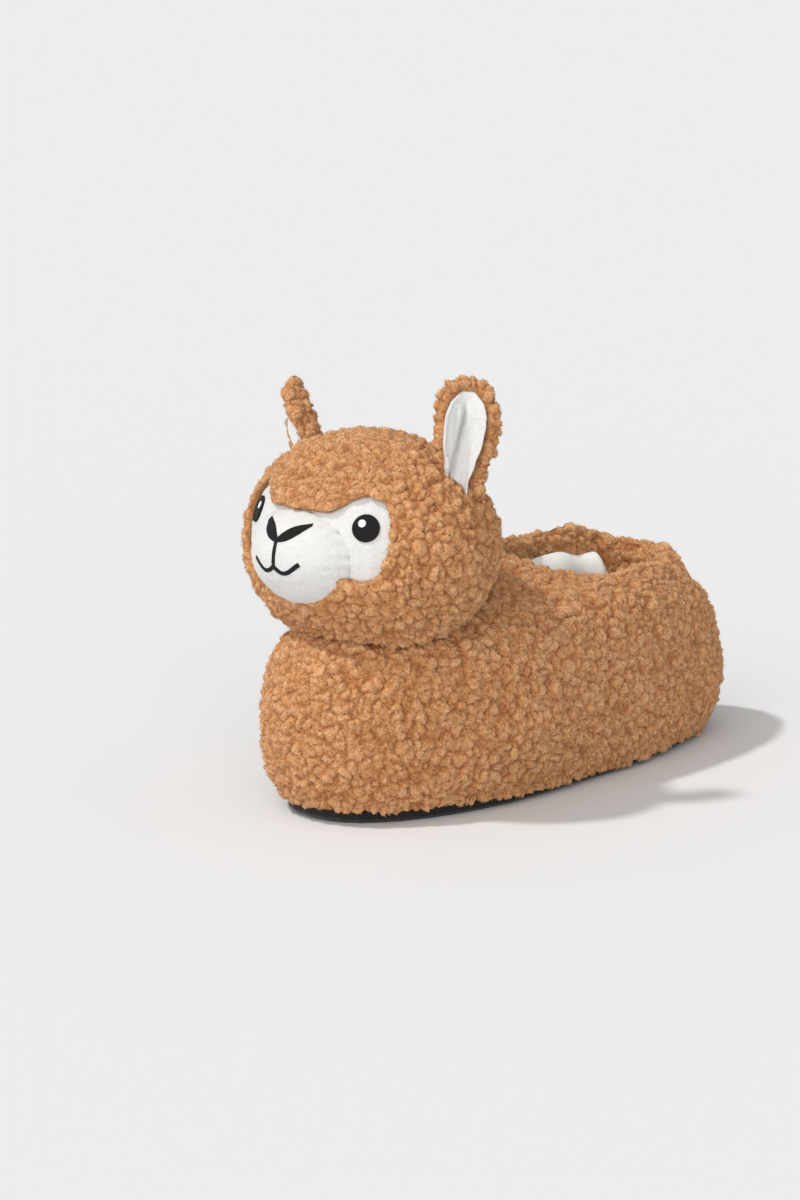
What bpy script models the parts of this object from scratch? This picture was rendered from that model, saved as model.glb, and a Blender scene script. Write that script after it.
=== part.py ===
"""House slipper for the left foot, shaped as a plush alpaca.

A hollow padded body of curly fleece stands on a thin dark sole. A stuffed head
with a white snout sits on the toe, and a padded roll finishes the foot opening.
Metres, +Z up. The toe points to -Y, the heel to +Y, the outer side of the foot
to +X. The origin is on the floor, under the middle of the shoe's length.
"""

import math

import bmesh
import bpy
from mathutils import Matrix, Vector

MM = 0.001

# Body over the fleece, as the last carries it
BODY_LENGTH = 280 * MM
BALL_WIDTH = 115 * MM
FRONT_HEIGHT = 100 * MM
TOPLINE_HEIGHT = 87 * MM
BACK_HEIGHT = 75 * MM
BODY_WALL = 6.5 * MM
LAST_SWING = 3.0 * MM
ARCH_TUCK = 2.5 * MM
ARCH_REACH = 78 * MM
TOE_SPRING = 1.5 * MM
TOE_SPRING_REACH = 62 * MM
FEATHER_BAND = 3.0 * MM
TOPLINE_SWEEP = 1.6

# Sole and footbed
SOLE_THICKNESS = 6.0 * MM
SOLE_INSET = 2.5 * MM
SOLE_EDGE_ROUND = 1.5 * MM
INSOLE_THICKNESS = 9.0 * MM
INSOLE_EDGE_ROUND = 1.0 * MM
INSOLE_LAP = 0.55

# Stuffed head
HEAD_WIDTH = 122 * MM
HEAD_DEPTH = 101 * MM
HEAD_HEIGHT = 97 * MM
HEAD_FROM_TOE = 52 * MM
HEAD_CENTRE_HEIGHT = 118.5 * MM

# Face, sunk below the fleece
FACE_RECESS = 3.2 * MM
FACE_THICKNESS = 1.4 * MM
SNOUT_WIDTH = 61 * MM
SNOUT_HEIGHT = 44.5 * MM
SNOUT_DEPTH = 50 * MM
SNOUT_DROP = 1 * MM
SNOUT_PROUD = 6.5 * MM
EYE_DIAMETER = 12 * MM
EYE_SPACING = 70 * MM
EYE_HEIGHT = 16 * MM
STITCH_THICKNESS = 0.9 * MM
NOSTRIL_LENGTH = 15 * MM
NOSTRIL_WIDTH = 4.8 * MM
NOSTRIL_SLOPE = math.radians(31)
NOSE_HEIGHT = 8.5 * MM
LIP_WIDTH = 28 * MM
LIP_HEIGHT = -1.5 * MM
LIP_SAG = 3 * MM
LIP_CURL = 1.2
LIP_STROKE = 1.9 * MM
LEAF_FULLNESS = 0.7
LEAF_BLUNTNESS = 0.25

# Ears
EAR_LENGTH = 42 * MM
EAR_WIDTH = 21 * MM
EAR_THICKNESS = 4.5 * MM
EAR_ROOT_CUP = 10.8 * MM
EAR_TIP_CUP = 5.2 * MM
EAR_SPACING = 90 * MM
EAR_SETBACK = 10 * MM
EAR_FACING = math.radians(50)
EAR_LINING_THICKNESS = 1.2 * MM
EAR_LINING_MARGIN = 0.8 * MM
EAR_LINING_TIP = 3.5 * MM
EAR_TIP_WIDTH = 2.4 * MM
EAR_ROOT = -0.22

SEAM_GAP = 0.3 * MM

# How finely the forms are drawn
RING_POINTS = 44
BODY_RINGS = 15
HEAD_GRID = (36, 20)
SNOUT_GRID = (32, 18)
EAR_ROWS = 10
EAR_COLUMNS = 8
EYE_SIDES = 24
STROKE_STEPS = 8
WELD = 0.01 * MM

# Each row is one level of the body, from the sole's edge to the foot opening. Toe and heel are
# shares of half the length and width is a share of half the ball width. Square is the power of
# the superellipse. The heights are shares of the front, topline and back heights.
BODY_COLUMNS = ("toe", "heel", "width", "square", "front_rise", "side_rise", "back_rise")
BODY_LEVELS = (
    # toe    heel   width  square front  side   back
    (0.920, 0.925, 0.870, 2.45, 0.063, 0.070, 0.080),
    (0.965, 0.985, 0.950, 2.45, 0.170, 0.195, 0.220),
    (0.985, 1.000, 1.000, 2.40, 0.330, 0.380, 0.390),
    (0.982, 0.970, 0.990, 2.40, 0.500, 0.590, 0.620),
    (0.948, 0.935, 0.945, 2.35, 0.665, 0.775, 0.815),
    (0.865, 0.895, 0.865, 2.30, 0.795, 0.905, 0.930),
    (0.480, 0.855, 0.765, 2.20, 0.930, 0.970, 0.985),
    (0.080, 0.820, 0.665, 2.10, 1.000, 1.000, 1.000),
)

# Width of the last along its length, from the heel's end to the toe's, as shares of the ball width
LAST_WIDTHS = (
    (0.00, 0.88),
    (0.25, 0.89),
    (0.45, 0.92),
    (0.70, 1.00),
    (0.85, 0.99),
    (1.00, 0.95),
)

# The padded roll round the foot opening. Turn is the share of a turn from the front by the outer
# side. The rest is in millimetres: how far it stands over the body's edge and hangs down inside,
# how far its crest lies in from the edge, and how thick it is.
ROLL_COLUMNS = ("turn", "stand", "hang", "crest", "thick")
ROLL_STATIONS = (
    (0.00, 2.5, 12.0, 5.0, 7.0),
    (0.20, 2.0, 14.0, 5.0, 7.0),
    (0.33, 6.0, 18.0, 6.5, 9.5),
    (0.50, 16.5, 22.0, 9.5, 11.5),
    (0.66, 13.5, 19.0, 7.0, 10.0),
    (0.80, 9.5, 14.0, 5.0, 8.0),
    (1.00, 2.5, 12.0, 5.0, 7.0),
)

# The roll's section, from its outer foot over the crest and down its inner side. Its depth from the
# edge is a share of the crest's and a share of the thickness; its rise is a share of the stand less
# a share of the hang.
ROLL_SECTION = (
    # crest  thick stand  hang
    (0.10, 0.00, 0.20, 0.00),
    (0.13, 0.00, 0.50, 0.00),
    (0.30, 0.00, 0.80, 0.00),
    (1.00, 0.00, 1.00, 0.00),
    (1.00, 0.25, 0.92, 0.00),
    (1.00, 0.50, 0.55, 0.00),
    (1.00, 0.60, 0.00, 0.25),
    (1.00, 0.50, 0.00, 0.75),
    (1.00, 0.10, 0.00, 1.00),
    (1.00, -0.20, 0.00, 0.85),
    (0.40, 0.00, 0.00, 0.12),
)

# Half of the face's white patch, from the middle of the brow, as shares of half the head's width
# and height
FACE_OUTLINE = (
    (0.00, 0.42),
    (0.15, 0.42),
    (0.27, 0.42),
    (0.34, 0.47),
    (0.42, 0.55),
    (0.51, 0.58),
    (0.61, 0.53),
    (0.69, 0.40),
    (0.725, 0.20),
    (0.71, 0.01),
    (0.65, -0.13),
    (0.53, -0.18),
    (0.38, -0.10),
    (0.22, -0.03),
    (0.00, 0.00),
)

# Half width of the ear along its length, from the head to the tip, as shares of half its width
EAR_WIDTHS = (
    (0.00, 0.60),
    (0.20, 0.76),
    (0.45, 0.95),
    (0.70, 1.00),
    (0.88, 0.82),
    (1.00, 0.40),
)

# How each ear is sewn on, in degrees: its lean to the side and its tilt to the back
EAR_POSES = (
    ("left", 1, 2, 4),
    ("right", -1, 50, 20),
)


def smooth_between(values, where):
    """Catmull-Rom value at `where`, from 0 at the first of the values to 1 at the last."""
    place = min(max(where, 0.0), 1.0) * (len(values) - 1)
    first = min(int(place), len(values) - 2)
    t = place - first
    b, c = values[first], values[first + 1]
    a = values[first - 1] if first > 0 else 2 * b - c
    d = values[first + 2] if first + 2 < len(values) else 2 * c - b
    square = 2 * a - 5 * b + 4 * c - d
    cube = 3 * b - a - 3 * c + d
    return b + 0.5 * ((c - a) * t + square * t**2 + cube * t**3)


def table_value(rows, station):
    """Value of a two-column table at a station, eased from row to row."""
    for (low, start), (high, end) in zip(rows, rows[1:]):
        if station <= high:
            share = (max(station, low) - low) / (high - low)
            return start + (end - start) * share * share * (3 - 2 * share)
    return rows[-1][1]


def body_level(where):
    """The body table's row at a level, from 0 at the sole to 1 at the foot opening."""
    columns = zip(*BODY_LEVELS)
    return {name: smooth_between(column, where) for name, column in zip(BODY_COLUMNS, columns)}


def last_width(y):
    return table_value(LAST_WIDTHS, 0.5 - y / BODY_LENGTH)


def swing(y):
    """Sideways place of the last's centre line: its middle bows to the outer side."""
    return LAST_SWING * (1 - (2 * y / BODY_LENGTH) ** 2)


def arch_tuck(x, y):
    """How far the inner side draws in at the waist."""
    share = 1 - (y / ARCH_REACH) ** 2
    return ARCH_TUCK * max(share, 0.0) if x < 0 else 0.0


def toe_lift(y):
    """Rise of the sole ahead of the ball."""
    ahead = -BODY_LENGTH / 2 + TOE_SPRING_REACH - y
    return TOE_SPRING * (max(ahead, 0.0) / TOE_SPRING_REACH) ** 2


def ring_outline(toe, heel, half_width, square, inset=0.0):
    """Points of one level in plan, from the toe round by the outer side, as (x, y, toe share)."""
    middle = (heel - toe) / 2
    half = (heel + toe) / 2 - inset
    points = []
    for i in range(RING_POINTS):
        angle = 2 * math.pi * i / RING_POINTS
        c, s = math.cos(angle), math.sin(angle)
        y = middle - half * math.copysign(abs(c) ** (2 / square), c)
        side = math.copysign(abs(s) ** (2 / square), s)
        x = side * (half_width * last_width(y) - inset)
        x += arch_tuck(x, y) * abs(side)
        points.append((x + swing(y), y, c))
    return points


def body_ring(where):
    """One ring of the body's outer surface."""
    row = body_level(where)
    plan = ring_outline(
        row["toe"] * BODY_LENGTH / 2,
        row["heel"] * BODY_LENGTH / 2,
        row["width"] * BALL_WIDTH / 2,
        row["square"],
    )
    ring = []
    for x, y, toe_share in plan:
        side = row["side_rise"] * TOPLINE_HEIGHT
        end = row["front_rise"] * FRONT_HEIGHT
        if toe_share < 0:
            end = row["back_rise"] * BACK_HEIGHT
        height = side + (end - side) * abs(toe_share) ** TOPLINE_SWEEP
        ring.append(Vector((x, y, height + toe_lift(y))))
    return ring


def body_rings():
    """Rings from the sole to the foot opening, with an upright band where the sole closes them."""
    rings = [body_ring(i / (BODY_RINGS - 1)) for i in range(BODY_RINGS)]
    floor = SOLE_THICKNESS + SEAM_GAP
    edge = [Vector((p.x, p.y, floor + toe_lift(p.y))) for p in rings[0]]
    band = [p + Vector((0, 0, FEATHER_BAND)) for p in edge]
    return [edge, band] + rings[1:]


def mesh_from_rings(name, rings, cap_first=False, cap_last=False, ladder=False):
    """Skins a stack of closed rings of equal count. A ladder cap joins left to right across it."""
    work = bmesh.new()
    rows = [[work.verts.new(p) for p in ring] for ring in rings]
    count = len(rows[0])
    for lower, upper in zip(rows, rows[1:]):
        for i in range(count):
            j = (i + 1) % count
            work.faces.new((lower[i], lower[j], upper[j], upper[i]))
    for wanted, row in ((cap_first, rows[0]), (cap_last, rows[-1])):
        if wanted and ladder:
            for i in range(count // 2):
                corners = (row[i], row[i + 1], row[(count - i - 1) % count], row[(count - i) % count])
                work.faces.new(dict.fromkeys(corners))
        elif wanted:
            work.faces.new(row)
    bmesh.ops.recalc_face_normals(work, faces=work.faces)
    mesh = bpy.data.meshes.new(name)
    work.to_mesh(mesh)
    work.free()
    return mesh


def fabric(name, colour, roughness):
    """A cloth finish in one colour."""
    material = bpy.data.materials.new(name)
    material.use_nodes = True
    shader = material.node_tree.nodes["Principled BSDF"]
    shader.inputs["Base Color"].default_value = (*colour, 1.0)
    shader.inputs["Roughness"].default_value = roughness
    shader.inputs["Metallic"].default_value = 0.0
    material.diffuse_color = (*colour, 1.0)
    return material


def add_piece(name, mesh, material=None):
    """A named object in the slipper's collection, or a hidden guide where it has no material."""
    piece = bpy.data.objects.new(name, mesh)
    home = bpy.data.collections["Slipper" if material else "Guides"]
    home.objects.link(piece)
    if material:
        piece.data.materials.clear()
        piece.data.materials.append(material)
    else:
        piece.hide_render = True
        piece.display_type = "WIRE"
    return piece


def boolean(piece, operation, other):
    step = piece.modifiers.new(operation.title() + " " + other.name, "BOOLEAN")
    step.operation = operation
    step.object = other


def grown(name, mesh, amount, material=None):
    """A copy of a closed form with its surface moved out by an amount."""
    piece = add_piece(name, mesh.copy(), material)
    swell = piece.modifiers.new("Swell", "DISPLACE")
    swell.strength = amount
    swell.mid_level = 0.0
    return piece


def make_upper(material):
    """The hollow body, open at the foot and underneath."""
    upper = add_piece("upper", mesh_from_rings("upper", body_rings()), material)
    wall = upper.modifiers.new("Wall", "SOLIDIFY")
    wall.thickness = BODY_WALL
    wall.offset = -1
    wall.use_even_offset = True
    return upper


def slab_rings(inset, bottom, thickness, edge_round):
    """Rings of a flat piece cut to the body's outline at the sole, with rounded edges."""
    row = body_level(0.0)
    rings = []
    for extra, height in (
        (edge_round, 0.0),
        (0.0, edge_round),
        (0.0, thickness - edge_round),
        (edge_round, thickness),
    ):
        plan = ring_outline(
            row["toe"] * BODY_LENGTH / 2,
            row["heel"] * BODY_LENGTH / 2,
            row["width"] * BALL_WIDTH / 2,
            row["square"],
            inset + extra,
        )
        rings.append([Vector((x, y, bottom + height + toe_lift(y))) for x, y, _ in plan])
    return rings


def make_outsole(material):
    rings = slab_rings(SOLE_INSET, 0.0, SOLE_THICKNESS, SOLE_EDGE_ROUND)
    mesh = mesh_from_rings("outsole", rings, cap_first=True, cap_last=True, ladder=True)
    return add_piece("outsole", mesh, material)


def make_insole(seat, material):
    """The padded footbed, which lies on the sole and is trimmed to the body's wall."""
    inset = INSOLE_LAP * BODY_WALL
    rings = slab_rings(inset, SOLE_THICKNESS + SEAM_GAP, INSOLE_THICKNESS, INSOLE_EDGE_ROUND)
    mesh = mesh_from_rings("insole", rings, cap_first=True, cap_last=True, ladder=True)
    insole = add_piece("insole", mesh, material)
    boolean(insole, "DIFFERENCE", seat)


def roll_station(turn):
    """The roll's sizes at a share of a turn round the opening, in metres."""
    columns = list(zip(*ROLL_STATIONS))
    return {
        name: table_value(list(zip(columns[0], column)), turn) * MM
        for name, column in zip(ROLL_COLUMNS[1:], columns[1:])
    }


def upper_seat():
    """The body's wall with the seam gap added all round, to cut what meets it."""
    rings = body_rings()
    drop = [point - Vector((0, 0, 2 * SEAM_GAP)) for point in rings[0]]
    lift = [point + Vector((0, 0, SEAM_GAP)) for point in rings[-1]]
    seat = add_piece("upper_seat", mesh_from_rings("upper_seat", [drop] + rings + [lift]))
    wall = seat.modifiers.new("Wall", "SOLIDIFY")
    wall.thickness = BODY_WALL + 2 * SEAM_GAP
    wall.offset = 2 * SEAM_GAP / wall.thickness - 1
    wall.use_even_offset = True
    return seat


def make_collar_roll(seat, material):
    """The padded roll over and inside the top edge, which stands up round the heel."""
    opening = body_rings()[-1]
    centre = sum(opening, Vector()) / RING_POINTS
    sections = []
    for i, point in enumerate(opening):
        size = roll_station(i / RING_POINTS)
        along = opening[(i + 1) % RING_POINTS] - opening[i - 1]
        out = Vector((along.y, -along.x, 0)).normalized()
        if out.dot(point - centre) < 0:
            out = -out
        section = []
        for crest, thick, stand, hang in ROLL_SECTION:
            depth = crest * size["crest"] + thick * size["thick"]
            rise = stand * size["stand"] - hang * size["hang"]
            section.append(point - out * depth + Vector((0, 0, rise)))
        sections.append(section)
    rings = [list(ring) for ring in zip(*sections)]
    mesh = mesh_from_rings("collar_roll", rings + rings[:1])
    work = bmesh.new()
    work.from_mesh(mesh)
    bmesh.ops.remove_doubles(work, verts=work.verts, dist=WELD)
    bmesh.ops.recalc_face_normals(work, faces=work.faces)
    work.to_mesh(mesh)
    work.free()
    roll = add_piece("collar_roll", mesh, material)
    boolean(roll, "DIFFERENCE", seat)


def ball_mesh(name, sizes, centre, grid):
    """A sphere primitive drawn out to a width, a depth and a height round a centre."""
    work = bmesh.new()
    bmesh.ops.create_uvsphere(work, u_segments=grid[0], v_segments=grid[1], radius=0.5)
    stretch = Matrix.Diagonal((*sizes, 1.0))
    bmesh.ops.transform(work, matrix=Matrix.Translation(centre) @ stretch, verts=work.verts)
    mesh = bpy.data.meshes.new(name)
    work.to_mesh(mesh)
    work.free()
    return mesh


def head_centre():
    y = -BODY_LENGTH / 2 + HEAD_FROM_TOE
    return Vector((swing(y), y, HEAD_CENTRE_HEIGHT))


def head_ball(name, shrink):
    """The head's ball, drawn in by an amount all round."""
    sizes = [size - 2 * shrink for size in (HEAD_WIDTH, HEAD_DEPTH, HEAD_HEIGHT)]
    return ball_mesh(name, sizes, head_centre(), HEAD_GRID)


def snout_centre():
    return head_centre() + Vector((0.0, (SNOUT_DEPTH - HEAD_DEPTH) / 2 - SNOUT_PROUD, -SNOUT_DROP))


def snout_ball(name, swell):
    """The snout's ball, let out by an amount all round."""
    sizes = [size + 2 * swell for size in (SNOUT_WIDTH, SNOUT_DEPTH, SNOUT_HEIGHT)]
    return ball_mesh(name, sizes, snout_centre(), SNOUT_GRID)


def prism(name, outline, front, back):
    """A flat outline in x and z, drawn out between two depths in y."""
    rings = [[Vector((x, y, z)) for x, z in outline] for y in (front, back)]
    return add_piece(name, mesh_from_rings(name, rings, cap_first=True, cap_last=True))


def face_window(name, inset):
    """The white patch's outline over both halves, drawn in by an inset and extruded."""
    centre = head_centre()
    right = [Vector((x * HEAD_WIDTH / 2, z * HEAD_HEIGHT / 2)) for x, z in FACE_OUTLINE]
    left = [Vector((-p.x, p.y)) for p in right[-2:0:-1]]
    around = right + left
    outline = []
    for i, point in enumerate(around):
        along = (around[(i + 1) % len(around)] - around[i - 1]).normalized()
        outline.append(point - Vector((-along.y, along.x)) * inset)
    shape = [(centre.x + p.x, centre.z + p.y) for p in outline]
    return prism(name, shape, centre.y - HEAD_DEPTH, centre.y)


def eye_window(name, side):
    """A drum that cuts a round eye where it sits on the head."""
    x, z = side * EYE_SPACING / 2, EYE_HEIGHT
    inside = 1 - (2 * x / HEAD_WIDTH) ** 2 - (2 * z / HEAD_HEIGHT) ** 2
    point = Vector((x, -HEAD_DEPTH / 2 * math.sqrt(inside), z))
    normal = Vector((x / HEAD_WIDTH**2, point.y / HEAD_DEPTH**2, z / HEAD_HEIGHT**2)).normalized()
    turn = normal.to_track_quat("Z", "Y").to_matrix().to_4x4()
    middle = head_centre() + point - normal * FACE_RECESS
    work = bmesh.new()
    bmesh.ops.create_cone(
        work,
        cap_ends=True,
        segments=EYE_SIDES,
        radius1=EYE_DIAMETER / 2,
        radius2=EYE_DIAMETER / 2,
        depth=EYE_DIAMETER,
        matrix=Matrix.Translation(middle) @ turn,
    )
    mesh = bpy.data.meshes.new(name)
    work.to_mesh(mesh)
    work.free()
    return add_piece(name, mesh)


def make_head_parts(upper_form, fleece, plush, thread):
    """Head, face patch, snout and eyes, which share the head's centre and the depth of the face."""
    skin = FACE_RECESS + FACE_THICKNESS + SEAM_GAP
    skin_form = add_piece("skin_form", head_ball("skin_form", skin))
    skin_seat = add_piece("skin_seat", head_ball("skin_seat", skin - SEAM_GAP))
    face_seat = add_piece("face_seat", head_ball("face_seat", FACE_RECESS - SEAM_GAP))
    snout_seat = add_piece("snout_seat", snout_ball("snout_seat", SEAM_GAP))

    pocket = face_window("face_pocket", 0.0)
    boolean(pocket, "UNION", snout_seat)
    boolean(pocket, "DIFFERENCE", skin_form)
    head = add_piece("head", head_ball("head", 0.0), fleece)
    boolean(head, "DIFFERENCE", pocket)
    boolean(head, "DIFFERENCE", upper_form)

    snout = add_piece("snout", snout_ball("snout", 0.0), plush)
    boolean(snout, "DIFFERENCE", skin_seat)

    patch = add_piece("face_patch", head_ball("face_patch", FACE_RECESS), plush)
    boolean(patch, "INTERSECT", face_window("face_window", SEAM_GAP))
    boolean(patch, "DIFFERENCE", skin_seat)
    boolean(patch, "DIFFERENCE", snout_seat)

    eye_depth = FACE_RECESS - SEAM_GAP - STITCH_THICKNESS
    for side, word in ((1, "left"), (-1, "right")):
        name = f"eye_{word}"
        eye = add_piece(name, head_ball(name, eye_depth), thread)
        boolean(eye, "INTERSECT", eye_window(f"{name}_window", side))
        boolean(eye, "DIFFERENCE", face_seat)
    make_nose_and_mouth(snout_seat, thread)


def ribbon(points, width):
    """Outline of a stroke through points in x and z."""
    sides = ([], [])
    for i, point in enumerate(points):
        before, after = points[max(i - 1, 0)], points[min(i + 1, len(points) - 1)]
        along = (after - before).normalized()
        across = Vector((-along.y, along.x)) * width / 2
        sides[0].append(point + across)
        sides[1].append(point - across)
    return sides[0] + sides[1][::-1]


def leaf(start, end, width):
    """Outline of a pointed oval between two places in x and z."""
    along = end - start
    across = Vector((-along.y, along.x)).normalized() * width / 2
    sides = ([], [])
    for i in range(STROKE_STEPS + 1):
        share = i / STROKE_STEPS
        swell = max(math.sin(math.pi * share) ** LEAF_FULLNESS, LEAF_BLUNTNESS)
        sides[0].append(start + along * share + across * swell)
        sides[1].append(start + along * share - across * swell)
    return sides[0] + sides[1][::-1]


def make_nose_and_mouth(snout_seat, thread):
    """Raised embroidery on the snout: two nostrils in a V, a line down, and a smile."""
    centre = snout_centre()
    nose = Vector((0.0, NOSE_HEIGHT))
    lip = Vector((0.0, LIP_HEIGHT))
    outlines = {"philtrum": ribbon([nose + Vector((0.0, LIP_STROKE)), lip], LIP_STROKE)}
    for side, word in ((1, "left"), (-1, "right")):
        tip = nose + Vector((side * math.cos(NOSTRIL_SLOPE), math.sin(NOSTRIL_SLOPE))) * NOSTRIL_LENGTH
        root = nose - Vector((side * LIP_STROKE / 2, 0.0))
        outlines[f"nostril_{word}"] = leaf(root, tip, NOSTRIL_WIDTH)
        smile = []
        for i in range(STROKE_STEPS + 1):
            share = i / STROKE_STEPS
            sag = LIP_SAG * math.sin(math.pi * share * LIP_CURL)
            smile.append(lip + Vector((side * (LIP_WIDTH / 2 * share - LIP_STROKE / 3), -sag)))
        outlines[f"lip_{word}"] = ribbon(smile, LIP_STROKE)

    windows = []
    for word, outline in outlines.items():
        shape = [(centre.x + p.x, centre.z + p.y) for p in outline]
        windows.append(prism(f"{word}_window", shape, centre.y - SNOUT_DEPTH, centre.y))
    for window in windows[1:]:
        boolean(windows[0], "UNION", window)
    cover = snout_ball("nose_and_mouth", SEAM_GAP + STITCH_THICKNESS)
    mouth = add_piece("nose_and_mouth", cover, thread)
    boolean(mouth, "INTERSECT", windows[0])
    boolean(mouth, "DIFFERENCE", snout_seat)


def ear_frame(side, lean, tilt):
    """Place of an ear's base on the head and its axes: across, along and the way that it faces."""
    facing = Vector((side * math.sin(EAR_FACING), -math.cos(EAR_FACING), 0.0))
    lean, tilt = math.radians(lean), math.radians(tilt)
    along = Vector((side * math.sin(lean), math.sin(tilt), math.cos(lean))).normalized()
    across = along.cross(facing).normalized()
    facing = across.cross(along).normalized()
    x, y = side * EAR_SPACING / 2, EAR_SETBACK
    rise = 1 - (2 * x / HEAD_WIDTH) ** 2 - (2 * y / HEAD_DEPTH) ** 2
    base = Vector((x, y, HEAD_HEIGHT / 2 * math.sqrt(max(rise, 0.0))))
    return head_centre() + base, across, along, facing


def ear_sheet(name, pose, margin, tip):
    """One cupped layer of an ear, its outline drawn in by a margin at the sides and the tip."""
    base, across, along, facing = ear_frame(*pose)
    work = bmesh.new()
    grid = []
    for r in range(EAR_ROWS + 1):
        station = EAR_ROOT + (1 - EAR_ROOT) * r / EAR_ROWS
        half = EAR_WIDTH / 2 * table_value(EAR_WIDTHS, station) - margin
        half = max(half, EAR_TIP_WIDTH / 2)
        length = station * (EAR_LENGTH - tip)
        share = max(length, 0.0) / EAR_LENGTH
        depth = EAR_ROOT_CUP + (EAR_TIP_CUP - EAR_ROOT_CUP) * share
        line = []
        for c in range(EAR_COLUMNS + 1):
            side = half * (2 * c / EAR_COLUMNS - 1)
            cup = depth * (2 * side / EAR_WIDTH) ** 2
            line.append(work.verts.new(base + across * side + along * length + facing * cup))
        grid.append(line)
    for low, high in zip(grid, grid[1:]):
        for i in range(EAR_COLUMNS):
            work.faces.new((low[i], low[i + 1], high[i + 1], high[i]))
    bmesh.ops.recalc_face_normals(work, faces=work.faces)
    work.faces.ensure_lookup_table()
    if work.faces[0].normal.dot(facing) < 0:
        bmesh.ops.reverse_faces(work, faces=work.faces)
    mesh = bpy.data.meshes.new(name)
    work.to_mesh(mesh)
    work.free()
    return mesh


def make_ears(fleece, plush):
    head_seat = add_piece("head_seat", head_ball("head_seat", -SEAM_GAP))
    for word, *pose in EAR_POSES:
        name = f"ear_{word}"
        ear = add_piece(name, ear_sheet(name, pose, 0.0, 0.0), fleece)
        wall = ear.modifiers.new("Wall", "SOLIDIFY")
        wall.thickness = EAR_THICKNESS
        wall.offset = -1
        boolean(ear, "DIFFERENCE", head_seat)

        name = f"ear_lining_{word}"
        sheet = ear_sheet(name, pose, EAR_LINING_MARGIN, EAR_LINING_TIP)
        lining = add_piece(name, sheet, plush)
        wall = lining.modifiers.new("Wall", "SOLIDIFY")
        wall.thickness = EAR_LINING_THICKNESS
        wall.offset = 1 + 2 * SEAM_GAP / EAR_LINING_THICKNESS
        boolean(lining, "DIFFERENCE", head_seat)


def clear_scene():
    for thing in list(bpy.data.objects):
        bpy.data.objects.remove(thing)
    for name in ("Slipper", "Guides"):
        bpy.context.scene.collection.children.link(bpy.data.collections.new(name))


def build():
    clear_scene()
    fleece = fabric("curly_fleece", (0.52, 0.27, 0.13), 0.95)
    plush = fabric("white_plush", (0.83, 0.82, 0.78), 0.85)
    lining = fabric("lining_plush", (0.78, 0.76, 0.69), 0.9)
    thread = fabric("black_thread", (0.02, 0.02, 0.02), 0.55)
    sole = fabric("sole_felt", (0.025, 0.025, 0.03), 0.9)

    make_upper(fleece)
    make_outsole(sole)
    seat = upper_seat()
    make_insole(seat, lining)
    make_collar_roll(seat, fleece)

    rings = body_rings()
    closed = mesh_from_rings("upper_form", rings, cap_first=True, cap_last=True)
    upper_form = grown("upper_form", closed, SEAM_GAP)
    make_head_parts(upper_form, fleece, plush, thread)
    make_ears(fleece, plush)


build()
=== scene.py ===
"""Looks for the plush slipper: curled fleece, short plush, padded lining, stitches, floor, light."""

import math

import bmesh
import bpy
import numpy as np
from mathutils import Matrix, Vector, noise
from mathutils.bvhtree import BVHTree


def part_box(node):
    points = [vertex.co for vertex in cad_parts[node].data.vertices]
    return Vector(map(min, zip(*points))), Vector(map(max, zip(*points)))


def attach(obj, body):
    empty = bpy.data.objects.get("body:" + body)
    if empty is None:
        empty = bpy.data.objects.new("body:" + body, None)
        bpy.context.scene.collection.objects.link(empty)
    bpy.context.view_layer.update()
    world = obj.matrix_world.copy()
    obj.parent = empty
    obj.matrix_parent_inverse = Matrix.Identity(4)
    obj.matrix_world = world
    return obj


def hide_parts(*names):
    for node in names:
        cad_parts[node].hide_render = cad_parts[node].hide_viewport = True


MM = 0.001
noise.seed_set(7)

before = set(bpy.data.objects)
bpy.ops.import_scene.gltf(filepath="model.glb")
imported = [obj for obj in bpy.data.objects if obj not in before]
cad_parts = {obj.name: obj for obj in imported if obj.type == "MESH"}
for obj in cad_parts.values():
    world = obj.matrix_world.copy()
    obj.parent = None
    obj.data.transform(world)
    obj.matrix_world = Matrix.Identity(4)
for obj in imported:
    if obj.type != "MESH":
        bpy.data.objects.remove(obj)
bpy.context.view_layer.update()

# Curled fleece
CURL_SIZE = 4.7 * MM
PILE = 3.3 * MM
PILE_ROOT = -1.1 * MM
CURL_LEAN = 1.5 * MM
FIBRE_LENGTH = 1.9 * MM
FIBRE_WIDTH = 0.22 * MM

GLINT_SIZE = 3.4 * MM
DOT_SPACING = 5 * MM

# Where the lining is sewn in: the spine that it goes round, and the heights of its seam
SPINE_TOE = -0.085
SPINE_HEEL = 0.078
FOOTBED_TOP = 0.0165

# Camera, as the photograph was taken
CAMERA_TURN = math.radians(45)
CAMERA_RISE = math.radians(12)
CAMERA_LENS = 88.2
CAMERA_PLACE = (0.90584, -0.97378, 0.36123)


# Meshes

def joined_copy(name, *nodes):
    """A copy of CAD nodes as one piece of its own, with their loose triangles joined up."""
    work = bmesh.new()
    for node in nodes:
        work.from_mesh(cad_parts[node].data)
    bmesh.ops.remove_doubles(work, verts=work.verts, dist=0.01 * MM)
    bmesh.ops.dissolve_degenerate(work, edges=work.edges, dist=0.005 * MM)
    mesh = bpy.data.meshes.new(name)
    work.to_mesh(mesh)
    work.free()
    return new_piece(name, mesh)


def new_piece(name, mesh):
    piece = bpy.data.objects.new(name, mesh)
    bpy.context.scene.collection.objects.link(piece)
    return piece


def settle(piece):
    """Applies a piece's modifiers to its mesh."""
    depsgraph = bpy.context.evaluated_depsgraph_get()
    mesh = bpy.data.meshes.new_from_object(piece.evaluated_get(depsgraph))
    piece.modifiers.clear()
    piece.data = mesh
    mesh.shade_smooth()


def grow(piece, distance):
    swell = piece.modifiers.new("Grow", "DISPLACE")
    swell.strength = distance
    swell.mid_level = 0.0


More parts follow.
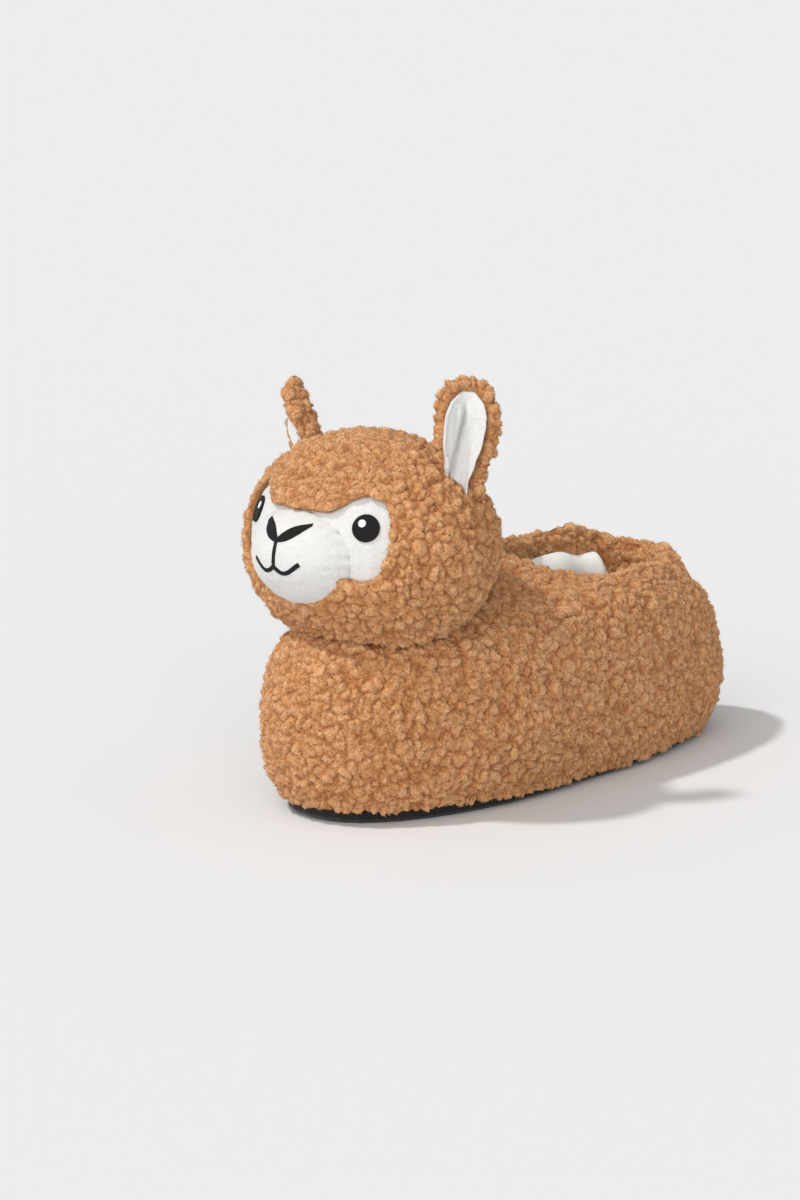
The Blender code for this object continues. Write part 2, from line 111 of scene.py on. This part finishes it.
def respun(piece, voxel, rounds, closing=0.0):
    """Gives closed pieces one even mesh of small squares, fills narrow grooves, softens edges."""
    if closing:
        grow(piece, closing)
    weave = piece.modifiers.new("Even mesh", "REMESH")
    weave.mode = "VOXEL"
    weave.voxel_size = voxel
    if closing:
        grow(piece, -closing)
    soften = piece.modifiers.new("Soften", "SMOOTH")
    soften.factor = 0.5
    soften.iterations = rounds
    settle(piece)


def keep_faces(piece, wanted):
    """Leaves only the faces whose centre and normal the test accepts."""
    work = bmesh.new()
    work.from_mesh(piece.data)
    spare = [face for face in work.faces if not wanted(face.calc_center_median(), face.normal)]
    bmesh.ops.delete(work, geom=spare, context="FACES")
    work.to_mesh(piece.data)
    work.free()


def points_of(mesh):
    flat = np.empty(len(mesh.vertices) * 3, np.float32)
    mesh.vertices.foreach_get("co", flat)
    return flat.reshape(-1, 3)


def normals_of(mesh):
    flat = np.empty(len(mesh.vertices) * 3, np.float32)
    mesh.vertex_normals.foreach_get("vector", flat)
    return flat.reshape(-1, 3)


def place_points(mesh, points):
    mesh.vertices.foreach_set("co", np.asarray(points, np.float32).ravel())
    mesh.update()


def tree_of(*nodes):
    work = bmesh.new()
    for node in nodes:
        work.from_mesh(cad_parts[node].data)
    tree = BVHTree.FromBMesh(work)
    work.free()
    return tree


def clear_of(*nodes, near=1.0 * MM, far=2.8 * MM):
    """Says how much of the pile stands at a point: none against these nodes, all of it further off."""
    tree = tree_of(*nodes)

    def share(point, normal):
        away = tree.find_nearest(point)[3]
        return min(max((away - near) / (far - near), 0.0), 1.0)

    return share


def melt(piece, touches, rounds):
    """Softens only the part of a piece that the test accepts."""
    work = bmesh.new()
    work.from_mesh(piece.data)
    soft = [vert for vert in work.verts if touches(vert.co)]
    for turn in range(rounds):
        bmesh.ops.smooth_vert(
            work, verts=soft, factor=0.5, use_axis_x=True, use_axis_y=True, use_axis_z=True
        )
    work.to_mesh(piece.data)
    work.free()


def store(mesh, name, values):
    layer = mesh.attributes.new(name, "FLOAT", "POINT")
    layer.data.foreach_set("value", np.asarray(values, np.float32))


SKEW = Matrix.Rotation(0.7, 3, "X") @ Matrix.Rotation(0.5, 3, "Y") @ Matrix.Rotation(0.9, 3, "Z")


def curl(point, size):
    """Height of the curls at a point, from 0 in a crease to 1 on a crown, and the curl's lean."""
    spot = SKEW @ point
    spot = spot / size + noise.noise_vector(spot / (1.3 * size)) * 0.7
    reach, centres = noise.voronoi(spot)
    dome = max(0.0, 1.0 - (reach[0] / 0.80) ** 2)
    crease = min(1.0, (reach[1] - reach[0]) / 0.34)
    chance = noise.noise_vector(centres[0] * 3.7)
    height = (0.55 * dome + 0.45 * crease * (2 - crease)) * (0.86 + 0.45 * chance.x)
    small = noise.noise(spot * 3.1) * 0.13 + noise.noise(spot * 6.3) * 0.07
    return max(0.0, height + small), chance * dome


def raise_pile(piece, height, size, root=PILE_ROOT, share=None):
    """Raises curls over a piece, where share says how much of the pile stands at a point."""
    mesh = piece.data
    points, normals = points_of(mesh), normals_of(mesh)
    crowns = np.zeros(len(points))
    for i, (place, facing) in enumerate(zip(points, normals)):
        point, normal = Vector(place), Vector(facing)
        standing = share(point, normal) if share else 1.0
        crown, lean = curl(point, size)
        crowns[i] = crown
        lean -= normal * lean.dot(normal)
        rise = normal * (root + height * crown) + lean * CURL_LEAN
        points[i] += np.array(rise * standing)
    place_points(mesh, points)
    # The crown heights also drive the fleece's painted shade in the creases and painted light on the
    # crowns.
    store(mesh, "crown", crowns)


def add_fibres(piece, count, seed):
    """Strews short bent fibres over a fleece piece, each a strip that narrows to a point."""
    mesh = piece.data
    mesh.calc_loop_triangles()
    corners = np.empty(len(mesh.loop_triangles) * 3, np.int32)
    mesh.loop_triangles.foreach_get("vertices", corners)
    corners = corners.reshape(-1, 3)
    points, normals = points_of(mesh), normals_of(mesh)
    crowns = np.empty(len(points), np.float32)
    mesh.attributes["crown"].data.foreach_get("value", crowns)
    a, b, c = (points[corners[:, k]] for k in range(3))
    area = np.linalg.norm(np.cross(b - a, c - a), axis=1)
    rng = np.random.default_rng(seed)
    area *= 0.15 + crowns[corners].mean(axis=1)
    picked = rng.choice(len(corners), count, p=area / area.sum())
    u, v = rng.random((2, count, 1))
    over = (u + v) > 1
    u, v = np.where(over, 1 - u, u), np.where(over, 1 - v, v)
    root = a[picked] + (b - a)[picked] * u + (c - a)[picked] * v
    up = normals[corners[picked, 0]]
    way = up + rng.normal(0, 0.75, (count, 3))
    way /= np.linalg.norm(way, axis=1, keepdims=True)
    bend = way + rng.normal(0, 0.9, (count, 3))
    bend /= np.linalg.norm(bend, axis=1, keepdims=True)
    side = np.cross(way, rng.normal(0, 1, (count, 3)))
    side *= FIBRE_WIDTH / 2 / np.linalg.norm(side, axis=1, keepdims=True)
    length = FIBRE_LENGTH * rng.uniform(0.5, 1.0, (count, 1))
    root = root - way * 0.2 * MM
    knee = root + way * length * 0.55
    tip = knee + bend * length * 0.45
    verts = np.stack([root - side, root + side, knee + side * 0.8, knee - side * 0.8, tip], axis=1)
    first = np.arange(count)[:, None] * 5
    strips = np.concatenate([first + (0, 1, 2), first + (0, 2, 3), first + (3, 2, 4)], axis=1)
    fibres = bpy.data.meshes.new(piece.name + "_fibres")
    fibres.from_pydata(verts.reshape(-1, 3), [], strips.reshape(-1, 3))
    # Each fibre carries its curl's crown height into the painted crease shade, and its knee and tip are
    # painted paler: painted light.
    shade = np.repeat(crowns[corners[picked, 0]], 5) + np.tile([0.0, 0.0, 0.2, 0.2, 0.4], count)
    store(fibres, "crown", shade)
    return dress(new_piece(piece.name + "_fibres", fibres), FLEECE, "curly_fleece")


# Materials

class Shader:
    """Short hand for a material's nodes."""

    def __init__(self, name):
        self.material = bpy.data.materials.new(name)
        self.material.use_nodes = True
        self.tree = self.material.node_tree
        self.surface = self.tree.nodes["Principled BSDF"]

    def node(self, kind, **settings):
        made = self.tree.nodes.new(kind)
        for name, value in settings.items():
            setattr(made, name, value)
        return made

    def link(self, source, target):
        self.tree.links.new(source, target)

    def noise(self, scale, detail=2.0, distortion=0.0):
        place = self.node("ShaderNodeTexCoord")
        grain = self.node("ShaderNodeTexNoise")
        grain.inputs["Scale"].default_value = scale
        grain.inputs["Detail"].default_value = detail
        grain.inputs["Distortion"].default_value = distortion
        self.link(place.outputs["Object"], grain.inputs["Vector"])
        return grain.outputs["Fac"]

    def ramp(self, source, stops):
        made = self.node("ShaderNodeValToRGB")
        ramp = made.color_ramp
        while len(ramp.elements) < len(stops):
            ramp.elements.new(0.5)
        for element, (place, colour) in zip(ramp.elements, stops):
            element.position = place
            element.color = (*colour, 1.0)
        self.link(source, made.inputs["Fac"])
        return made.outputs["Color"]

    def mixed(self, kind, factor, a, b):
        made = self.node("ShaderNodeMix", data_type="RGBA", blend_type=kind)
        made.inputs["Factor"].default_value = factor
        self.link(a, made.inputs["A"])
        self.link(b, made.inputs["B"])
        return made.outputs["Result"]

    def bump(self, source, strength, distance, under=None):
        made = self.node("ShaderNodeBump")
        made.inputs["Strength"].default_value = strength
        made.inputs["Distance"].default_value = distance
        self.link(source, made.inputs["Height"])
        if under:
            self.link(under, made.inputs["Normal"])
        return made.outputs["Normal"]

    def finish(self, colour, normal, roughness, sheen=0.0, sheen_roughness=0.5, tint=(1, 1, 1)):
        self.link(colour, self.surface.inputs["Base Color"])
        self.link(normal, self.surface.inputs["Normal"])
        self.surface.inputs["Roughness"].default_value = roughness
        self.surface.inputs["Specular IOR Level"].default_value = 0.15
        self.surface.inputs["Sheen Weight"].default_value = sheen
        self.surface.inputs["Sheen Roughness"].default_value = sheen_roughness
        self.surface.inputs["Sheen Tint"].default_value = (*tint, 1.0)
        return self.material


def curled_fleece():
    shader = Shader("curled fleece")
    crown = shader.node("ShaderNodeAttribute", attribute_name="crown")
    # The colour runs from dark in the creases to pale on the crowns: painted shade in the creases and
    # painted light on the crowns.
    painted_shade_and_light = shader.ramp(
        crown.outputs["Fac"],
        (
            (0.0, (0.42, 0.165, 0.054)),
            (0.25, (0.59, 0.268, 0.102)),
            (0.55, (0.71, 0.365, 0.158)),
            (1.0, (0.80, 0.470, 0.240)),
        ),
    )
    patches = shader.ramp(
        shader.noise(60.0, 3.0), ((0.25, (0.90, 0.88, 0.86)), (0.75, (1.0, 1.0, 1.0)))
    )
    fibres = shader.ramp(
        shader.noise(1050.0, 3.0, 0.6), ((0.34, (0.62, 0.51, 0.42)), (0.60, (1.0, 1.0, 1.0)))
    )
    colour = shader.mixed("MULTIPLY", 1.0, shader.mixed("MULTIPLY", 1.0, painted_shade_and_light, patches), fibres)
    hair = shader.bump(shader.noise(1900.0, 3.0, 1.0), 0.8, 0.4 * MM)
    locks = shader.bump(shader.noise(640.0, 2.0, 1.2), 0.8, 0.9 * MM, hair)
    fleece = shader.finish(colour, locks, 1.0, 0.3, 0.6, (0.9, 0.66, 0.46))
    shader.surface.inputs["Subsurface Weight"].default_value = 0.3
    shader.surface.inputs["Subsurface Radius"].default_value = (1.0, 0.55, 0.3)
    shader.surface.inputs["Subsurface Scale"].default_value = 1.2 * MM
    return fleece


def short_plush(name, colour, shade, grain=900.0, strength=0.5):
    shader = Shader(name)
    nap = shader.ramp(shader.noise(grain, 3.0, 0.5), ((0.25, shade), (0.75, colour)))
    down = shader.bump(shader.noise(grain * 1.8, 3.0, 0.6), strength, 0.25 * MM)
    ruffle = shader.bump(shader.noise(150.0, 3.0), 0.35, 0.8 * MM, down)
    return shader.finish(nap, ruffle, 0.95, 0.35, 0.45)


def satin_thread(name, glint=None):
    """Black satin stitch, with a round glint of white stitches where one is given."""
    shader = Shader(name)
    place = shader.node("ShaderNodeTexCoord")
    strands = shader.node("ShaderNodeTexWave", wave_type="BANDS", bands_direction="DIAGONAL")
    strands.inputs["Scale"].default_value = 420.0
    strands.inputs["Distortion"].default_value = 2.5
    shader.link(place.outputs["Object"], strands.inputs["Vector"])
    colour = shader.ramp(
        strands.outputs["Fac"], ((0.0, (0.004, 0.004, 0.004)), (1.0, (0.020, 0.019, 0.018)))
    )
    if glint:
        away = shader.node("ShaderNodeVectorMath", operation="DISTANCE")
        shader.link(place.outputs["Object"], away.inputs[0])
        away.inputs[1].default_value = glint
        outside = shader.node("ShaderNodeMath", operation="GREATER_THAN")
        shader.link(away.outputs["Value"], outside.inputs[0])
        outside.inputs[1].default_value = GLINT_SIZE / 2
        ring = shader.node("ShaderNodeMix", data_type="RGBA")
        shader.link(outside.outputs[0], ring.inputs["Factor"])
        ring.inputs["A"].default_value = (0.85, 0.85, 0.83, 1.0)
        shader.link(colour, ring.inputs["B"])
        colour = ring.outputs["Result"]
    normal = shader.bump(strands.outputs["Fac"], 0.9, 0.3 * MM)
    return shader.finish(colour, normal, 0.6)


def black_felt():
    """Felt, with rows of small grip dots underneath."""
    shader = Shader("black felt")
    colour = shader.ramp(
        shader.noise(1100.0, 3.0), ((0.3, (0.010, 0.009, 0.010)), (0.7, (0.030, 0.026, 0.027)))
    )
    place = shader.node("ShaderNodeTexCoord")
    rows = shader.node("ShaderNodeTexVoronoi", voronoi_dimensions="2D")
    rows.inputs["Scale"].default_value = 1 / DOT_SPACING
    rows.inputs["Randomness"].default_value = 0.0
    shader.link(place.outputs["Object"], rows.inputs["Vector"])
    dots = shader.ramp(rows.outputs["Distance"], ((0.20, (1, 1, 1)), (0.28, (0, 0, 0))))
    facing = shader.node("ShaderNodeNewGeometry")
    down = shader.node("ShaderNodeVectorMath", operation="DOT_PRODUCT")
    shader.link(facing.outputs["True Normal"], down.inputs[0])
    down.inputs[1].default_value = (0.0, 0.0, -1.0)
    under = shader.ramp(down.outputs["Value"], ((0.85, (0, 0, 0)), (0.95, (1, 1, 1))))
    grip = shader.mixed("MULTIPLY", 1.0, dots, under)
    paint = shader.ramp(grip, ((0.0, (0, 0, 0)), (1.0, (0.030, 0.030, 0.032))))
    felt = shader.bump(shader.noise(900.0, 4.0, 0.8), 0.8, 0.5 * MM)
    normal = shader.bump(grip, 1.0, 0.6 * MM, felt)
    return shader.finish(shader.mixed("ADD", 1.0, colour, paint), normal, 0.95, 0.2, 0.5)


FLEECE = curled_fleece()
PLUSH = short_plush("white plush", (0.70, 0.695, 0.68), (0.60, 0.59, 0.57))
# The lining's white is set paler than the white plush so that it stands in for light inside the shaded
# collar: partly its own white, partly painted light.
LINING_PAINTED_LIT = short_plush("lining plush painted lit", (0.92, 0.92, 0.88), (0.80, 0.80, 0.75), 700.0, 0.7)
THREAD = satin_thread("black thread")
FELT = black_felt()


def dress(piece, material, slot, *nodes):
    """Gives a finished piece its cloth and its body, and hides the nodes that it stands for."""
    piece.data.materials.clear()
    piece.data.materials.append(material)
    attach(piece, "root")
    if nodes:
        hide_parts(*nodes)
    return piece


# Body

def droop(body):
    """Lets the fleece hang over the edge of the sole, lower at the sides than at the toe."""
    points, normals = points_of(body.data), normals_of(body.data)
    for i, (x, y, z) in enumerate(points):
        near = max(0.0, 1.0 - (z - 0.0065) / 0.010)
        reach = np.interp(y, (-0.10, -0.06, 0.0), (0.8, 1.2, 3.0)) * MM
        outward = Vector((normals[i][0], normals[i][1], 0.0))
        points[i] += np.array(outward * 1.2 * MM * near + Vector((0, 0, -reach * near * near)))
    place_points(body.data, points)


def perk(body):
    """Lifts the collar's rim along the inner side, round the ankle, and eases it at the outer side."""
    points = points_of(body.data)
    for i, (x, y, z) in enumerate(points):
        high = np.interp(z, (0.080, 0.098), (0.0, 1.0))
        along = np.interp(y, (-0.01, 0.02, 0.075, 0.095), (0.0, 1.0, 1.0, 0.0))
        inner = np.interp(x, (-0.018, 0.0), (1.0, 0.0))
        outer = np.interp(x, (0.005, 0.020), (0.0, 1.0)) * np.interp(y, (0.03, 0.06), (1.0, 0.0))
        low = np.interp(z, (0.060, 0.068), (0.0, 1.0)) * np.interp(y, (-0.03, -0.01), (0.0, 1.0))
        points[i][2] += (3.0 * high * along * inner - 1.5 * outer * low) * MM
    place_points(body.data, points)


def make_body():
    """The upper with its padded collar, one fleece piece, its seam hidden in the pile."""
    body = joined_copy("body_fleece", "upper", "collar_roll")
    respun(body, 1.1 * MM, 14, closing=3.5 * MM)
    low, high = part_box("upper")
    upper, roll = tree_of("upper"), tree_of("collar_roll")

    def joint(point):
        band = 11 * MM
        return upper.find_nearest(point)[3] < band and roll.find_nearest(point)[3] < band

    def outer(point, normal):
        middle = Vector((0.0, min(max(point.y, low.y + 0.06), high.y - 0.05), 0.045))
        if (point - middle).dot(normal) > -0.006 or point.z < 0.011:
            return True
        return roll.find_nearest(point)[3] < 2.5 * MM

    melt(body, joint, 70)
    keep_faces(body, outer)
    droop(body)
    perk(body)
    raise_pile(body, PILE, CURL_SIZE)
    dress(body, FLEECE, "curly_fleece", "upper", "collar_roll")
    add_fibres(body, 64000, 11)


# Head

def make_head():
    head = joined_copy("head_fleece", "head")
    respun(head, 0.95 * MM, 7)
    raise_pile(head, PILE, CURL_SIZE, share=clear_of("face_patch", "snout", near=1.4 * MM, far=4.2 * MM))
    dress(head, FLEECE, "curly_fleece", "head")
    add_fibres(head, 34000, 13)


def make_plush_piece(node, name, voxel, rounds, loft, over_seam):
    piece = joined_copy(name, node)
    respun(piece, voxel, rounds)
    mesh = piece.data
    points, normals = points_of(mesh), normals_of(mesh)
    for i, place in enumerate(points):
        point = Vector(place)
        lift = loft * (0.6 * noise.noise(point / (9 * MM)) + 0.25 * noise.noise(point / (2.2 * MM)))
        points[i] += normals[i] * (lift + over_seam)
    place_points(mesh, points)
    dress(piece, PLUSH, "white_plush", node)
    return piece


def make_snout():
    """The muzzle, puckered where it is sewn on."""
    snout = make_plush_piece("snout", "snout_plush", 0.8 * MM, 4, 0.5 * MM, 1.0 * MM)
    low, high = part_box("snout")
    middle, half = (low + high) / 2, (high - low) / 2
    points, normals = points_of(snout.data), normals_of(snout.data)
    for i, (x, y, z) in enumerate(points):
        across, up = (x - middle.x) / half.x, (z - middle.z) / half.z
        turn = math.atan2(up, across)
        fold = 0.5 + 0.5 * math.sin(24 * turn + 5 * noise.noise(Vector((across, up, 0.0)) * 1.7))
        rim = np.interp(math.hypot(across, up), (0.76, 0.98), (0.0, 1.0))
        points[i] -= normals[i] * 0.5 * MM * rim * fold
    place_points(snout.data, points)


def make_eye(word):
    """An embroidered eye with a white glint, set up and in towards the nose."""
    node = f"eye_{word}"
    low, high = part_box(node)
    middle = (low + high) / 2
    inward = -math.copysign(1.0, middle.x)
    glint = middle + Vector((inward * 1.5, -1.0, 2.1)) * MM
    eye = joined_copy(f"eye_stitches_{word}", node)
    dress(eye, satin_thread(f"black thread of the {word} eye", glint), "black_thread", node)


def make_nose():
    nose = joined_copy("nose_and_mouth_stitches", "nose_and_mouth")
    dress(nose, THREAD, "black_thread", "nose_and_mouth")


def ear_axes(mesh):
    """Middle of a flat piece and its axes: across it, along it to the tip, and the way it faces."""
    points = points_of(mesh)
    middle = points.mean(axis=0)
    across, along = np.linalg.svd(points - middle, full_matrices=False)[2][1::-1]
    along = along * np.sign(along[2])
    across = across * np.sign(across @ (0.7, 0.7, 0.0))
    return middle, across, along, np.cross(across, along)


def make_ear_lining(word):
    """The ear's plush, folded lengthwise: two soft flaps meet in a groove that runs to the root."""
    node = f"ear_lining_{word}"
    lining = joined_copy(f"ear_plush_{word}", node)
    respun(lining, 0.5 * MM, 4)
    points, normals = points_of(lining.data), normals_of(lining.data)
    middle, across, along, facing = ear_axes(lining.data)
    local = points - middle
    wide, tall = local @ across, local @ along
    wide_share = wide / np.abs(wide).max()
    tall_share = (tall - tall.min()) / np.ptp(tall)
    groove = np.interp(tall_share, (0.0, 0.45, 0.85), (-0.62, -0.28, -0.05))
    off = wide_share - groove
    flap = np.where(off < 0, 4.2, 3.6) * np.clip(np.abs(off) / 0.26, 0, 1) ** 0.8
    rim = np.clip((1.02 - np.abs(wide_share)) / 0.35, 0, 1) ** 0.5
    rim *= np.clip((1.0 - tall_share) / 0.15, 0, 1) ** 0.5
    fade = np.clip((0.92 - tall_share) / 0.15, 0, 1)
    rise = rim * (flap * fade + 2.2 * (1 - fade)) * MM
    toward = np.clip(normals @ facing, 0, 1)
    points += facing * (rise * toward)[:, None]
    points += across * (np.exp(-((off + 0.25) / 0.2) ** 2) * rim * fade * toward * 1.2 * MM)[:, None]
    points -= across * ((1 - tall_share) * 2.6 * MM)[:, None]
    place_points(lining.data, points)
    return dress(lining, PLUSH, "white_plush", node)


def make_ears():
    for word in ("left", "right"):
        ear = joined_copy(f"ear_fleece_{word}", f"ear_{word}")
        respun(ear, 0.75 * MM, 5)
        share = clear_of(f"ear_lining_{word}")
        raise_pile(ear, 3.4 * MM, 4.2 * MM, root=-0.6 * MM, share=share)
        dress(ear, FLEECE, "curly_fleece", f"ear_{word}")
        add_fibres(ear, 3500, 14)
        make_ear_lining(word)


# Lining

def around_foot():
    """Starts and directions of level rays from the middle of the foot out to the wall, all round."""
    centre = 0.002
    rays = []
    for share in np.linspace(0, 1, 56, endpoint=False):
        rays.append(((centre, SPINE_TOE + (SPINE_HEEL - SPINE_TOE) * share), (1.0, 0.0)))
    for turn in np.linspace(0, math.pi, 32, endpoint=False):
        rays.append(((centre, SPINE_HEEL), (math.cos(turn), math.sin(turn))))
    for share in np.linspace(0, 1, 56, endpoint=False):
        rays.append(((centre, SPINE_HEEL + (SPINE_TOE - SPINE_HEEL) * share), (-1.0, 0.0)))
    for turn in np.linspace(math.pi, 2 * math.pi, 32, endpoint=False):
        rays.append(((centre, SPINE_TOE), (math.cos(turn), math.sin(turn))))
    return rays


SEAM_STATIONS = (-0.02, 0.0, 0.02, 0.04, 0.059, 0.070, 0.083, 0.097, 0.112)
SEAM_INNER = (66, 78, 87, 91, 92.5, 88, 91, 80, 62)
SEAM_OUTER = (66, 74, 73.5, 73, 72, 72, 71, 67, 62)


def inner_share(x):
    return min(max((0.012 - x) / 0.024, 0.0), 1.0)


def lining_seam(x, y):
    """Height at which the lining is sewn to the roll."""
    inner = np.interp(y, SEAM_STATIONS, SEAM_INNER)
    outer = np.interp(y, SEAM_STATIONS, SEAM_OUTER)
    toe = min(max((-0.012 - y) / 0.05, 0.0), 1.0)
    return ((outer + (inner - outer) * inner_share(x)) * (1 - toe) + 58 * toe) * MM


def lining_puff(place):
    """How far the gathered lining swells off the wall: two full puffs by the ankle, small pleats."""
    if place.y < -0.02:
        return 1.5 * MM
    pleat = noise.noise(place / (17 * MM)) * 0.8 + noise.noise(place / (7 * MM)) * 0.35
    puffs = sum(math.exp(-(((place.y - y) / wide) ** 2)) for y, wide in ((0.056, 0.010), (0.083, 0.009)))
    return (4.0 + 3.0 * pleat + 4.5 * puffs * inner_share(place.x)) * MM


def make_lining():
    """A plush sleeve from the footbed to the roll, gathered at its seam into soft puffs."""
    tree = tree_of("upper", "collar_roll")
    work = bmesh.new()
    rows = 30
    columns = []
    for (x, y), way in around_foot():
        way = Vector((*way, 0.0))
        wall = tree.ray_cast(Vector((x, y, 0.040)), way, 0.2)[0]
        top = lining_seam(wall.x, wall.y)
        puff = lining_puff(wall)
        column = []
        reach = (wall - Vector((x, y, 0.040))).length
        for row in range(rows + 1):
            share = row / rows
            z = FOOTBED_TOP + (top - FOOTBED_TOP) * share
            start = Vector((x, y, z))
            hit = tree.ray_cast(start, way, 0.2)[0]
            if hit:
                reach = (hit - start).length
            swell = math.sin(math.pi * min(share, 1.0) ** 2.2) ** 0.6 if 0 < share < 1 else 0.0
            inward = 1.3 * MM + puff * swell - (2.0 * MM if row == rows else 0.0)
            column.append(work.verts.new(start + way * (reach - inward)))
        columns.append(column)
    for here, there in zip(columns, columns[1:] + columns[:1]):
        for low in range(rows):
            work.faces.new((here[low], here[low + 1], there[low + 1], there[low]))
    for turn in range(3):
        bmesh.ops.smooth_vert(
            work, verts=work.verts, factor=0.5, use_axis_x=True, use_axis_y=True, use_axis_z=True
        )
    bmesh.ops.recalc_face_normals(work, faces=work.faces)
    mesh = bpy.data.meshes.new("lining_sleeve")
    work.to_mesh(mesh)
    work.free()
    lining = new_piece("lining_sleeve", mesh)
    cloth = lining.modifiers.new("Cloth", "SOLIDIFY")
    cloth.thickness = 0.9 * MM
    cloth.offset = 0.0
    round_off = lining.modifiers.new("Round", "SUBSURF")
    round_off.levels = 1
    round_off.render_levels = 1
    settle(lining)
    dress(lining, LINING_PAINTED_LIT, "lining_plush")


# Sole

def make_sole():
    sole = joined_copy("felt_sole", "outsole")
    dress(sole, FELT, "sole_felt", "outsole")


def make_footbed():
    bed = joined_copy("footbed_plush", "insole")
    respun(bed, 1.6 * MM, 3)
    dress(bed, LINING_PAINTED_LIT, "lining_plush", "insole")


# Studio

def make_floor():
    work = bmesh.new()
    bmesh.ops.create_grid(work, x_segments=1, y_segments=1, size=80.0)
    mesh = bpy.data.meshes.new("floor")
    work.to_mesh(mesh)
    work.free()
    floor = new_piece("floor", mesh)
    shader = Shader("pale floor")
    shader.surface.inputs["Base Color"].default_value = (0.752, 0.752, 0.752, 1.0)
    shader.surface.inputs["Roughness"].default_value = 1.0
    shader.surface.inputs["Specular IOR Level"].default_value = 0.0
    floor.data.materials.append(shader.material)


def aim(thing, place, target):
    back = (Vector(place) - Vector(target)).normalized()
    thing.matrix_world = Matrix.Translation(place) @ back.to_track_quat("Z", "Y").to_matrix().to_4x4()


def make_light(name, kind, energy, place, target, **settings):
    data = bpy.data.lights.new(name, kind)
    data.energy = energy
    for setting, value in settings.items():
        setattr(data, setting, value)
    light = bpy.data.objects.new(name, data)
    bpy.context.scene.collection.objects.link(light)
    aim(light, place, target)


def make_studio():
    make_floor()
    world = bpy.data.worlds.new("studio")
    world.use_nodes = True
    world.node_tree.nodes["Background"].inputs["Color"].default_value = (1.0, 1.0, 1.0, 1.0)
    world.node_tree.nodes["Background"].inputs["Strength"].default_value = 0.46
    bpy.context.scene.world = world
    right = Vector((math.cos(CAMERA_TURN), math.sin(CAMERA_TURN), 0.0))
    toward = Vector((math.sin(CAMERA_TURN), -math.cos(CAMERA_TURN), 0.0))
    centre = Vector((0.0, 0.0, 0.08))
    key = Vector((0.0, 0.0, 1.0)) - right * 0.60 + toward * 0.20
    make_light("key", "SUN", 1.64, centre + key * 2, centre, angle=math.radians(4))
    soft = toward - right * 0.25 + Vector((0.0, 0.0, 0.35))
    make_light("soft", "SUN", 2.05, centre + soft * 2, centre, angle=math.radians(70))


def make_camera():
    data = bpy.data.cameras.new("camera")
    data.sensor_width = 36.0
    data.lens = CAMERA_LENS
    data.clip_end = 400.0
    camera = bpy.data.objects.new("camera", data)
    bpy.context.scene.collection.objects.link(camera)
    across = Vector((math.cos(CAMERA_TURN), math.sin(CAMERA_TURN), 0.0))
    back = Vector(
        (
            math.sin(CAMERA_TURN) * math.cos(CAMERA_RISE),
            -math.cos(CAMERA_TURN) * math.cos(CAMERA_RISE),
            math.sin(CAMERA_RISE),
        )
    )
    turn = Matrix((across, back.cross(across), back)).transposed().to_4x4()
    camera.matrix_world = Matrix.Translation(CAMERA_PLACE) @ turn
    bpy.context.scene.camera = camera


def dress_slipper():
    make_body()
    make_head()
    make_snout()
    make_plush_piece("face_patch", "face_plush", 0.7 * MM, 2, 0.4 * MM, 0.25 * MM)
    for word in ("left", "right"):
        make_eye(word)
    make_nose()
    make_ears()
    make_sole()
    make_footbed()
    make_lining()


make_camera()
make_studio()
dress_slipper()
bpy.context.scene.view_settings.view_transform = "Standard"
